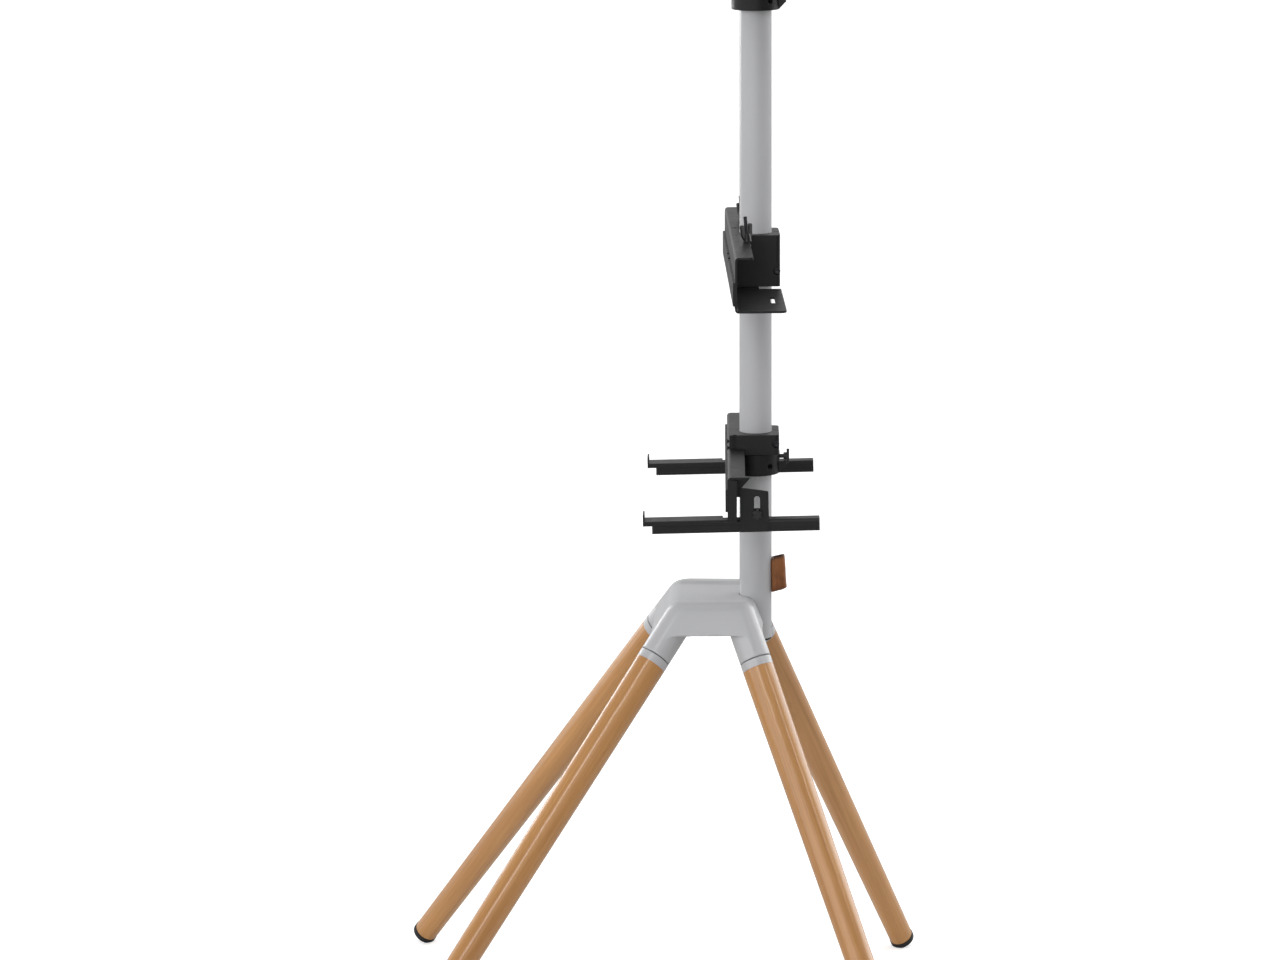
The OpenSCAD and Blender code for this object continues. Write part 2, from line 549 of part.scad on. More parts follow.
module middle_front_strip() color(black) on_mid() difference() {
  translate([0, $web_f - 0.05, mid_z + 8.3]) rotate([90, 0, 0]) linear_extrude(sheet)
    round_rect(-$bar_half, 0, $bar_half, 28, 2);
  strip_sinks(mid_z + 22.3);
  for (x = [-20, 20]) cyl_y(5.4, -60, -22, x, (mid_c0 + mid_c1)/2);
}
module middle_bar_screws() color(zinc) on_mid() { web_screws((mid_c0 + mid_c1)/2); strip_screws(mid_z + 22.3); }
// bright hook bolts leaning forward through the rear notches
module hook_frame() { translate([hook_x, hook_y, mid_top]) rotate([hook_tilt, 0, 0]) children(); }
module hook_bolts() color(zinc) on_mid() both_sides() hook_frame() {
  translate([0, 0, -15]) cylinder(r = 2.2, h = 46.5);
  translate([0, 0, -17]) cylinder(r = 3.8, h = 3);
  translate([0, 0, -5.2]) cylinder(r = 4.6, h = 1.6);
}
module wing_nut(turn) hook_frame() rotate([0, 0, turn]) difference() {
  union() {
    translate([0, 0, 1.2]) cylinder(r1 = 5.4, r2 = 4.2, h = 9);
    // two upright wings, front and rear
    rotate([90, 0, 90]) translate([0, 0, -1.5]) linear_extrude(3) for (m = [0, 1]) mirror([m, 0])
      union() {
        polygon([[1.5, 2.5], [5.2, 2.5], [9.6, 9], [10.4, 19], [5.2, 21], [4.4, 11], [1.5, 9]]);
        translate([7.7, 19.2]) circle(2.9);
      }
  }
  translate([0, 0, -1]) cylinder(r = 2.25, h = 30);
}
module wing_nut_left() color(black) on_mid() wing_nut(wing_turn[0]);
module wing_nut_right() color(black) on_mid() mirror([1, 0, 0]) wing_nut(wing_turn[1]);

// ---------------------------------------------------------------- display head
head_z = head_top - 62.5;
head_c0 = head_z - 6; head_c1 = head_top - 6;
head_col = head_c0 - 0.4 - col_h;
tilt_y = -48; tilt_z = head_top - 6;
plate_f = -62;                               // front face of the display plate
module upper_stop_collar() stop_collar(head_col);
module upper_thumb_screw() thumb_screw(head_col);
module head_clamp() clamp_block(head_c0, head_c1, head_c0 + 16, 31, (head_c0 + head_c1)/2);
module head_bush() bush(head_c0, head_c1);
module head_clamp_screw() clamp_screw(head_c0 + 16, 31);
module head_crossbar() color(black) difference() {
  translate([0, 0, head_z]) channel(62.5, 22, 0);
  translate([-32.3, $web_b + 0.01, head_z - 5]) cube([64.6, 80, 80]);
  bar_holes((head_c0 + head_c1)/2);
  strip_holes(head_z + 20);
  for (x = [-44, 44]) for (z = [tilt_z - 34, tilt_z - 12]) cyl_y(2.2, -60, -22, x, z);
  both_sides() corner_cut($bar_half - 4, -12 - 4, 4, head_top - 5, head_top + 1);
}
module head_front_strip() color(black) difference() {
  translate([0, $web_f - 0.05, head_z + 6]) rotate([90, 0, 0]) linear_extrude(sheet)
    round_rect(-$bar_half, 0, $bar_half, 28, 2);
  strip_sinks(head_z + 20);
  for (x = [-20, 20]) cyl_y(5.4, -60, -22, x, (head_c0 + head_c1)/2);
  // window for the yoke
  translate([-56, -60, head_z + 5]) cube([112, 40, 40]);
}
module head_bar_screws() color(zinc) {
  web_screws((head_c0 + head_c1)/2);
  strip_screws(head_z + 20);
  for (x = [-44, 44]) for (z = [tilt_z - 34, tilt_z - 12]) translate([x, $web_f - 3.2, z]) rotate([90, 0, 0]) {
    pan_screw(2, 10, 3.8);
    translate([0, 0, -9]) cylinder(r = 3.8, h = 3, $fn = 6);
  }
}
module tilt_yoke() color(black) both_sides() difference() {
  union() {
    translate([34, $web_f - 3.1, tilt_z - 42]) cube([18, 3, 54]);
    translate([34, 0, 0]) rotate([90, 0, 90]) linear_extrude(3) union() {
      polygon([[$web_f - 1, tilt_z - 42], [$web_f - 1, tilt_z + 12], [tilt_y, tilt_z + 8], [tilt_y - 8, tilt_z], [tilt_y - 5, tilt_z - 7]]);
      translate([tilt_y, tilt_z]) circle(8);
    }
  }
  cyl_x(4.05, 30, 60, tilt_y, tilt_z);
  for (z = [tilt_z - 34, tilt_z - 12]) cyl_y(2.2, -60, -22, 44, z);
}
module tilt_pin() color(zinc) cyl_x(4, -43, 43, tilt_y, tilt_z);
module display_plate() color(black) difference() {
  union() {
    translate([0, plate_f + 3, tilt_z]) rotate([90, 0, 0]) linear_extrude(3)
      round_rect(-plate_w/2, -plate_w/2, plate_w/2, plate_w/2, 8);
    both_sides() translate([30.6, 0, 0]) rotate([90, 0, 90]) linear_extrude(3) union() {
      polygon([[plate_f + 1, tilt_z - 30], [plate_f + 1, tilt_z + 30], [tilt_y, tilt_z + 8], [tilt_y, tilt_z - 8]]);
      translate([tilt_y, tilt_z]) circle(8);
    }
  }
  cyl_x(4.05, -60, 60, tilt_y, tilt_z);
  for (s = [vesa_a, vesa_b]) for (x = [-s/2, s/2]) for (z = [-s/2, s/2]) cyl_y(2.75, -80, -50, x, tilt_z + z);
}
module tilt_knob() color(black) translate([43.2, tilt_y, tilt_z]) rotate([0, 90, 0]) union() {
  cylinder(r = 7, h = 3);
  translate([0, 0, 2]) linear_extrude(15) union() {
    circle(8.4);
    for (a = [0:60:359]) rotate(a) translate([8, 0]) circle(2.2, $fn = 24);
  }
}

at_origin() base_hub();
at_origin() hub_underplate();
at_origin() underplate_screws();
at_origin() pole();
at_origin() pole_insert();
at_origin() pole_bolts();
at_origin() pole_cap();
at_origin() pole_foot_plug();
at_origin() leg_front_left();
at_origin() leg_front_right();
at_origin() leg_rear_left();
at_origin() leg_rear_right();
at_origin() leg_ferrules();
at_origin() leg_studs();
at_origin() socket_grub_screws();
at_origin() foot_pads();
at_origin() leather_cable_loop();
at_origin() loop_screws();
at_origin() lower_stop_collar();
at_origin() lower_thumb_screw();
at_origin() lower_clamp();
at_origin() lower_clamp_bush();
at_origin() lower_clamp_screw();
at_origin() lower_crossbar();
at_origin() lower_front_strip();
at_origin() lower_bar_screws();
at_origin() arm_hangers();
at_origin() hanger_screws();
at_origin() height_knob_left();
at_origin() height_knob_right();
at_origin() arm_tube_left();
at_origin() arm_tube_right();
at_origin() arm_plugs_left();
at_origin() arm_plugs_right();
at_origin() slot_plate_left();
at_origin() slot_plate_right();
at_origin() tray_rail_left();
at_origin() tray_rail_right();
at_origin() middle_bush();
at_origin() middle_clamp();
at_origin() middle_clamp_screw();
at_origin() middle_crossbar();
at_origin() middle_front_strip();
at_origin() middle_bar_screws();
at_origin() hook_bolts();
at_origin() wing_nut_left();
at_origin() wing_nut_right();
at_origin() upper_stop_collar();
at_origin() upper_thumb_screw();
at_origin() head_clamp();
at_origin() head_bush();
at_origin() head_clamp_screw();
at_origin() head_crossbar();
at_origin() head_front_strip();
at_origin() head_bar_screws();
at_origin() tilt_yoke();
at_origin() display_plate();
at_origin() tilt_pin();
at_origin() tilt_knob();
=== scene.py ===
import json
import math
import bpy
import bmesh
import numpy as np
from mathutils import Matrix, Vector


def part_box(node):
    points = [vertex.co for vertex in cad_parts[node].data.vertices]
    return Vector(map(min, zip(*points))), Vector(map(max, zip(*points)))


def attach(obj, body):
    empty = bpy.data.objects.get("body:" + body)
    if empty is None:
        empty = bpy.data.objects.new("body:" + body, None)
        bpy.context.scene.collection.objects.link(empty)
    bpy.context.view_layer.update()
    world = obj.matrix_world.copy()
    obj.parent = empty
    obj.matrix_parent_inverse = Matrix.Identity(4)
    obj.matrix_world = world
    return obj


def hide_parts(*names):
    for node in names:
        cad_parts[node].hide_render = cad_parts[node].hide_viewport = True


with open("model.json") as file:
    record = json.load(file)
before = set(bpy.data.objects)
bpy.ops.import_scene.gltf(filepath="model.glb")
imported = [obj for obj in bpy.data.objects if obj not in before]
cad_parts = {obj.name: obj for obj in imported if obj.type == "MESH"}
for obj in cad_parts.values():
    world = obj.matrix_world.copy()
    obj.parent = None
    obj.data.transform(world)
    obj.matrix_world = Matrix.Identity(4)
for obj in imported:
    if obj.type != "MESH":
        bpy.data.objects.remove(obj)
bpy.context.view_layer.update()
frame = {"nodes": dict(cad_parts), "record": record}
nodes = frame["nodes"]
POLE_Y = 0.127

# ------------------------------------------------------------------ node helpers
def new_mat(name):
    m = bpy.data.materials.new(name)
    m.use_nodes = True
    nt = m.node_tree
    nt.nodes.clear()
    out = nt.nodes.new("ShaderNodeOutputMaterial")
    b = nt.nodes.new("ShaderNodeBsdfPrincipled")
    nt.links.new(b.outputs["BSDF"], out.inputs["Surface"])
    return m, nt, b


def add(nt, kind, **kw):
    n = nt.nodes.new(kind)
    for k, v in kw.items():
        if k.startswith("i_"):
            n.inputs[k[2:].replace("_", " ")].default_value = v
        else:
            setattr(n, k, v)
    return n


def ramp(nt, stops, fac=None, interp="LINEAR"):
    r = nt.nodes.new("ShaderNodeValToRGB")
    r.color_ramp.interpolation = interp
    while len(r.color_ramp.elements) < len(stops):
        r.color_ramp.elements.new(0.5)
    for e, (p, c) in zip(r.color_ramp.elements, stops):
        e.position = p
        e.color = (*c, 1.0) if len(c) == 3 else c
    if fac is not None:
        nt.links.new(fac, r.inputs["Fac"])
    return r


def grey3(v):
    return (v, v, v)


def coords(nt, scale=(1, 1, 1), obj=None):
    tc = nt.nodes.new("ShaderNodeTexCoord")
    if obj is not None:
        tc.object = obj
    mp = nt.nodes.new("ShaderNodeMapping")
    mp.inputs["Scale"].default_value = scale
    nt.links.new(tc.outputs["Object"], mp.inputs["Vector"])
    return mp.outputs["Vector"]


def noise(nt, vec, scale, detail=4.0, rough=0.55, distort=0.0):
    n = nt.nodes.new("ShaderNodeTexNoise")
    n.inputs["Scale"].default_value = scale
    n.inputs["Detail"].default_value = detail
    n.inputs["Roughness"].default_value = rough
    n.inputs["Distortion"].default_value = distort
    nt.links.new(vec, n.inputs["Vector"])
    return n.outputs["Fac"]


def bump(nt, bsdf, height, strength, dist, prev=None):
    b = nt.nodes.new("ShaderNodeBump")
    b.inputs["Strength"].default_value = strength
    b.inputs["Distance"].default_value = dist
    nt.links.new(height, b.inputs["Height"])
    if prev is not None:
        nt.links.new(prev, b.inputs["Normal"])
    nt.links.new(b.outputs["Normal"], bsdf.inputs["Normal"])
    return b.outputs["Normal"]


def mix_rgb(nt, fac, a, b, blend="MIX"):
    m = nt.nodes.new("ShaderNodeMix")
    m.data_type = "RGBA"
    m.blend_type = blend
    for sock, val in ((m.inputs[0], fac), (m.inputs[6], a), (m.inputs[7], b)):
        if isinstance(val, (int, float)):
            sock.default_value = val
        elif isinstance(val, tuple):
            sock.default_value = (*val, 1.0) if len(val) == 3 else val
        else:
            nt.links.new(val, sock)
    return m.outputs[2]


def math_node(nt, op, a, b=None, c=None, clamp=False):
    m = nt.nodes.new("ShaderNodeMath")
    m.operation = op
    m.use_clamp = clamp
    for i, v in enumerate((a, b, c)):
        if v is None:
            continue
        if isinstance(v, (int, float)):
            m.inputs[i].default_value = v
        else:
            nt.links.new(v, m.inputs[i])
    return m.outputs[0]


# ------------------------------------------------------------------ materials
def painted(name, colour, rough, peel, coat=0.0, spread=0.02, grain=2600.0, specular=0.5):
    """powder coat: a fine pebbled skin, a slightly uneven sheen and faint mottling"""
    m, nt, b = new_mat(name)
    v = coords(nt)
    mott = noise(nt, v, 14.0, 3.0, 0.6)
    lo = tuple(c * (1 - spread) for c in colour)
    hi = tuple(c * (1 + spread) for c in colour)
    r = ramp(nt, [(0.3, lo), (0.7, hi)], mott)
    nt.links.new(r.outputs["Color"], b.inputs["Base Color"])
    sheen = noise(nt, v, 60.0, 4.0, 0.6)
    rr = ramp(nt, [(0.25, grey3(rough * 0.9)), (0.75, grey3(rough * 1.12))], sheen)
    nt.links.new(rr.outputs["Color"], b.inputs["Roughness"])
    b.inputs["Specular IOR Level"].default_value = specular
    b.inputs["Coat Weight"].default_value = coat
    b.inputs["Coat Roughness"].default_value = rough * 0.8
    fine = noise(nt, v, grain, 2.0, 0.5)
    bump(nt, b, fine, peel, 0.00006)
    return m


def metal(name, colour, rough, stretch=(1, 1, 1)):
    m, nt, b = new_mat(name)
    v = coords(nt, stretch)
    n1 = noise(nt, v, 900.0, 3.0, 0.6)
    r = ramp(nt, [(0.3, tuple(c * 0.86 for c in colour)), (0.7, colour)], n1)
    nt.links.new(r.outputs["Color"], b.inputs["Base Color"])
    rr = ramp(nt, [(0.3, grey3(rough * 0.8)), (0.7, grey3(rough * 1.25))], n1)
    nt.links.new(rr.outputs["Color"], b.inputs["Roughness"])
    b.inputs["Metallic"].default_value = 1.0
    bump(nt, b, n1, 0.15, 0.00005)
    return m


def plastic(name, colour, rough, grain=1400.0, peel=0.35):
    m, nt, b = new_mat(name)
    v = coords(nt)
    n1 = noise(nt, v, grain, 3.0, 0.6)
    r = ramp(nt, [(0.3, tuple(c * 0.85 for c in colour)), (0.7, tuple(c * 1.1 for c in colour))], n1)
    nt.links.new(r.outputs["Color"], b.inputs["Base Color"])
    n2 = noise(nt, v, 90.0, 3.0, 0.6)
    rr = ramp(nt, [(0.3, grey3(rough * 0.9)), (0.7, grey3(rough * 1.1))], n2)
    nt.links.new(rr.outputs["Color"], b.inputs["Roughness"])
    bump(nt, b, n1, peel, 0.00008)
    return m


def wooden(name, axis_obj, seed):
    """lacquered beech: long straight grain, short dark flecks, slow colour drift along the leg"""
    m, nt, b = new_mat(name)
    tc = nt.nodes.new("ShaderNodeTexCoord")
    tc.object = axis_obj
    off = nt.nodes.new("ShaderNodeMapping")
    off.inputs["Location"].default_value = (0.11 * seed, 0.07 * seed, 0.31 * seed)
    nt.links.new(tc.outputs["Object"], off.inputs["Vector"])

    def stretched(sx, sy, sz):
        mp = nt.nodes.new("ShaderNodeMapping")
        mp.inputs["Scale"].default_value = (sx, sy, sz)
        nt.links.new(off.outputs["Vector"], mp.inputs["Vector"])
        return mp.outputs["Vector"]

    # growth rings: planes seen through the leg, bent a little
    bend = noise(nt, stretched(6, 6, 0.9), 3.0, 2.0, 0.5)
    w = nt.nodes.new("ShaderNodeTexWave")
    w.wave_type = "BANDS"
    w.bands_direction = "X"
    w.wave_profile = "SAW"
    w.inputs["Scale"].default_value = 26.0
    w.inputs["Distortion"].default_value = 2.2
    w.inputs["Detail"].default_value = 2.0
    w.inputs["Detail Scale"].default_value = 0.6
    nt.links.new(stretched(1.0, 0.35, 0.05), w.inputs["Vector"])
    rings = w.outputs["Fac"]
    fibre = noise(nt, stretched(1, 1, 0.018), 420.0, 5.0, 0.62)
    broad = noise(nt, stretched(1, 1, 0.05), 48.0, 3.0, 0.55, 0.4)
    drift = noise(nt, stretched(1, 1, 0.35), 9.0, 2.0, 0.5)
    flecks = noise(nt, stretched(1, 1, 0.06), 900.0, 2.0, 0.5)
    base = ramp(nt, [(0.0, (0.375, 0.172, 0.051)), (0.35, (0.450, 0.219, 0.070)),
                     (0.62, (0.515, 0.263, 0.090)), (1.0, (0.595, 0.322, 0.120))], fibre)
    ringc = ramp(nt, [(0.0, (1.04, 1.03, 1.02)), (0.7, (1.0, 0.99, 0.97)), (0.93, (0.88, 0.83, 0.76)), (1.0, (0.97, 0.95, 0.92))], rings)
    c1 = mix_rgb(nt, 0.75, base.outputs["Color"], ringc.outputs["Color"], "MULTIPLY")
    broadc = ramp(nt, [(0.28, (0.84, 0.79, 0.72)), (0.55, (1.0, 1.0, 1.0)), (0.8, (1.08, 1.07, 1.05))], broad)
    c2 = mix_rgb(nt, 0.9, c1, broadc.outputs["Color"], "MULTIPLY")
    driftc = ramp(nt, [(0.3, (0.93, 0.9, 0.86)), (0.7, (1.05, 1.04, 1.03))], drift)
    c3 = mix_rgb(nt, 0.8, c2, driftc.outputs["Color"], "MULTIPLY")
    fl = ramp(nt, [(0.0, (1, 1, 1)), (0.66, (1, 1, 1)), (0.72, (0.72, 0.62, 0.5)), (1.0, (0.6, 0.5, 0.4))], flecks)
    c4 = mix_rgb(nt, 0.55, c3, fl.outputs["Color"], "MULTIPLY")
    nt.links.new(c4, b.inputs["Base Color"])
    rr = ramp(nt, [(0.3, grey3(0.36)), (0.7, grey3(0.46))], fibre)
    nt.links.new(rr.outputs["Color"], b.inputs["Roughness"])
    b.inputs["Coat Weight"].default_value = 0.55
    b.inputs["Coat Roughness"].default_value = 0.16
    b.inputs["Coat IOR"].default_value = 1.5
    bump(nt, b, fibre, 0.12, 0.00012)
    return m


def leathery(name):
    m, nt, b = new_mat(name)
    v = coords(nt)
    vor = nt.nodes.new("ShaderNodeTexVoronoi")
    vor.feature = "DISTANCE_TO_EDGE"
    vor.inputs["Scale"].default_value = 950.0
    nt.links.new(v, vor.inputs["Vector"])
    cells = ramp(nt, [(0.0, grey3(0.0)), (0.16, grey3(1.0))], vor.outputs["Distance"])
    broad = noise(nt, v, 55.0, 4.0, 0.6)
    fine = noise(nt, v, 420.0, 4.0, 0.6)
    c = ramp(nt, [(0.25, (0.155, 0.050, 0.013)), (0.5, (0.245, 0.084, 0.021)), (0.8, (0.345, 0.130, 0.034))], broad)
    c2 = mix_rgb(nt, 0.35, c.outputs["Color"], ramp(nt, [(0.3, (0.6, 0.55, 0.5)), (0.7, (1.1, 1.1, 1.1))], fine).outputs["Color"], "MULTIPLY")
    # burnished, darker cut edges: the piece stores how near a cut edge each point is
    at = nt.nodes.new("ShaderNodeAttribute")
    at.attribute_name = "edge"
    c3 = mix_rgb(nt, at.outputs["Fac"], c2, (0.060, 0.022, 0.010))
    nt.links.new(c3, b.inputs["Base Color"])
    rr = ramp(nt, [(0.2, grey3(0.40)), (0.8, grey3(0.58))], fine)
    nt.links.new(rr.outputs["Color"], b.inputs["Roughness"])
    b.inputs["Sheen Weight"].default_value = 0.03
    b.inputs["Specular IOR Level"].default_value = 0.35
    b.inputs["Coat Weight"].default_value = 0.05
    b.inputs["Coat Roughness"].default_value = 0.35
    n1 = bump(nt, b, cells.outputs["Color"], 0.35, 0.00012)
    bump(nt, b, broad, 0.4, 0.0006, n1)
    return m


def thread_mat(name):
    m, nt, b = new_mat(name)
    v = coords(nt)
    n1 = noise(nt, v, 3000.0, 2.0, 0.5)
    r = ramp(nt, [(0.3, (0.30, 0.19, 0.10)), (0.7, (0.52, 0.37, 0.22))], n1)
    nt.links.new(r.outputs["Color"], b.inputs["Base Color"])
    b.inputs["Roughness"].default_value = 0.8
    bump(nt, b, n1, 0.5, 0.0001)
    return m


GREY = painted("light_grey_powder_coat", (0.455, 0.458, 0.470), 0.36, 0.30, coat=0.25, spread=0.012)
BLACK = painted("black_powder_coat", (0.0062, 0.0062, 0.0068), 0.40, 0.55, coat=0.0, spread=0.08, grain=1700.0, specular=0.36)
ZINC = metal("bright_zinc", (0.72, 0.72, 0.73), 0.24)
DARK = metal("blackened_steel", (0.055, 0.055, 0.06), 0.34)
PLAST = plastic("black_plastic", (0.0075, 0.0075, 0.008), 0.42)
RUBBER = plastic("black_rubber", (0.012, 0.012, 0.012), 0.72, grain=800.0, peel=0.5)
LEATHER = leathery("brown_leather")
THREAD = thread_mat("waxed_thread")

by_slot = {"grey_paint": GREY, "black_paint": BLACK, "zinc": ZINC, "dark_steel": DARK,
           "black_plastic": PLAST, "rubber": RUBBER, "leather": LEATHER}
slot_of = {s["node"]: s["material_slot"] for s in frame["record"]["subparts"]}

# leg axes, top of the wood to the floor, in metres
F0, F1 = Vector((0.0873, -0.1265, 0.468)), Vector((0.332, -0.450, 0.0))
R0, R1 = Vector((0.08608, 0.0052, 0.462)), Vector((0.3115, 0.1895, 0.0))
legs = {"leg_front_left": (F0, F1, 1), "leg_front_right": (F0, F1, -1),
        "leg_rear_left": (R0, R1, 1), "leg_rear_right": (R0, R1, -1)}
for k, (name, (a, b_, sx)) in enumerate(legs.items()):
    top = Vector((a.x * sx, a.y + POLE_Y, a.z))
    foot = Vector((b_.x * sx, b_.y + POLE_Y, b_.z))
    z = (foot - top).normalized()
    x = Vector((0, 0, 1)).cross(z).normalized()
    y = z.cross(x)
    e = bpy.data.objects.new("grain_" + name, None)
    e.matrix_world = Matrix(((x.x, y.x, z.x, top.x), (x.y, y.y, z.y, top.y), (x.z, y.z, z.z, top.z), (0, 0, 0, 1)))
    bpy.context.scene.collection.objects.link(e)
    legs[name] = wooden("lacquered_beech_" + name[4:], e, k + 1)

# ------------------------------------------------------------------ mesh from a distance field
def surface_nets(field, lo, hi, step):
    """a closed quad mesh on field(p) = 0; field takes an (n, 3) array and is negative inside"""
    ax = [np.arange(lo[i], hi[i] + step, step) for i in range(3)]
    shape = tuple(len(a) for a in ax)
    val = np.empty(shape, np.float32)
    for i, x in enumerate(ax[0]):
        yy, zz = np.meshgrid(ax[1], ax[2], indexing="ij")
        pts = np.stack([np.full(yy.size, x), yy.ravel(), zz.ravel()], 1)
        val[i] = field(pts).reshape(shape[1:])
    inside = val < 0
    acc = np.zeros(tuple(n - 1 for n in shape) + (3,), np.float64)
    cnt = np.zeros(tuple(n - 1 for n in shape), np.int32)
    crossing = []
    for d in range(3):
        a_sl = [slice(None)] * 3
        b_sl = [slice(None)] * 3
        a_sl[d], b_sl[d] = slice(0, -1), slice(1, None)
        va, vb = val[tuple(a_sl)], val[tuple(b_sl)]
        idx = np.argwhere(inside[tuple(a_sl)] != inside[tuple(b_sl)])
        fa = va[tuple(idx.T)]
        fb = vb[tuple(idx.T)]
        t = fa / (fa - fb)
        pos = idx.astype(np.float64)
        pos[:, d] += t
        crossing.append((d, idx, fa < 0))
        u, v = (d + 1) % 3, (d + 2) % 3
        for du in (0, -1):
            for dv in (0, -1):
                c = idx.copy()
                c[:, u] += du
                c[:, v] += dv
                ok = np.all((c >= 0) & (c < np.array(cnt.shape)), axis=1)
                np.add.at(acc, tuple(c[ok].T), pos[ok])
                np.add.at(cnt, tuple(c[ok].T), 1)
    cells = np.argwhere(cnt > 0)
    number = np.full(cnt.shape, -1, np.int64)
    number[tuple(cells.T)] = np.arange(len(cells))
    verts = acc[tuple(cells.T)] / cnt[tuple(cells.T)][:, None] * step + np.array(lo)
    faces = []
    for d, idx, a_in in crossing:
        u, v = (d + 1) % 3, (d + 2) % 3
        q = []
        for du, dv in ((0, 0), (-1, 0), (-1, -1), (0, -1)):
            c = idx.copy()
            c[:, u] += du
            c[:, v] += dv
            q.append(number[tuple(np.clip(c, 0, np.array(cnt.shape) - 1).T)])
        quad = np.stack(q, 1)
        good = np.all(quad >= 0, axis=1)
        quad, ai = quad[good], a_in[good]
        quad[~ai] = quad[~ai][:, ::-1]
        faces.append(quad)
    return verts, np.concatenate(faces)


def settle(field, verts, rounds=3, h=0.02, reach=0.6):
    """slides vertices onto the surface along the field's own slope"""
    v = verts.copy()
    for _ in range(rounds):
        f = field(v)
        g = np.stack([(field(v + h * e) - field(v - h * e)) / (2 * h) for e in np.eye(3)], 1)
        n2 = np.maximum((g * g).sum(1), 0.05)
        move = -(f / n2)[:, None] * g
        ln = np.linalg.norm(move, axis=1)
        v += move * np.minimum(1, reach / np.maximum(ln, 1e-9))[:, None] * 0.9
    return v


def mesh_object(name, verts_mm, faces, mat):
    """verts in millimetres about the pole's axis"""
    me = bpy.data.meshes.new(name)
    v = (verts_mm * 0.001 + np.array([0, POLE_Y, 0])).astype(np.float32)
    me.vertices.add(len(v))
    me.vertices.foreach_set("co", v.ravel())
    me.loops.add(faces.size)
    me.loops.foreach_set("vertex_index", faces.ravel().astype(np.int32))
    me.polygons.add(len(faces))
    me.polygons.foreach_set("loop_start", np.arange(0, faces.size, faces.shape[1], dtype=np.int32))
    me.polygons.foreach_set("loop_total", np.full(len(faces), faces.shape[1], np.int32))
    me.update(calc_edges=True)
    me.validate()
    me.polygons.foreach_set("use_smooth", np.ones(len(me.polygons), bool))
    me.materials.append(mat)
    o = bpy.data.objects.new(name, me)
    bpy.context.scene.collection.objects.link(o)
    return o


def round_and(a, b, r):
    u = np.maximum(r + a, 0)
    v = np.maximum(r + b, 0)
    return np.minimum(-r, np.maximum(a, b)) + np.sqrt(u * u + v * v)


def round_or(a, b, r):
    return -round_and(-a, -b, r)


# ------------------------------------------------------------------ the cast hub, with its soft casting edges
mm = 1000.0
AX = {}
for nm, (a3, b3) in {"f": (F0, F1), "r": (R0, R1)}.items():
    for sx in (1, -1):
        p0 = np.array([a3.x * sx, a3.y, a3.z]) * mm
        p1 = np.array([b3.x * sx, b3.y, b3.z]) * mm
        AX[nm, sx] = (p0, (p1 - p0) / np.linalg.norm(p1 - p0))
hub_lo, hub_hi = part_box("base_hub")
HUB_TOP = hub_hi.z * mm
HUB_BOT = HUB_TOP - 35.7
LEG_R = 19.4


def plane_of(ka, kb, out):
    (pa, da), (pb, db) = AX[ka], AX[kb]
    n = np.cross(pb - pa, da)
    n /= np.linalg.norm(n)
    if n @ np.array(out, float) < 0:
        n = -n
    return pa, n


ring = [("f", 1), ("r", 1), ("r", -1), ("f", -1)]
walls = [plane_of(ring[0], ring[1], (1, 0, 0)), plane_of(ring[1], ring[2], (0, 1, 0)),
         plane_of(ring[2], ring[3], (-1, 0, 0)), plane_of(ring[3], ring[0], (0, -1, 0))]


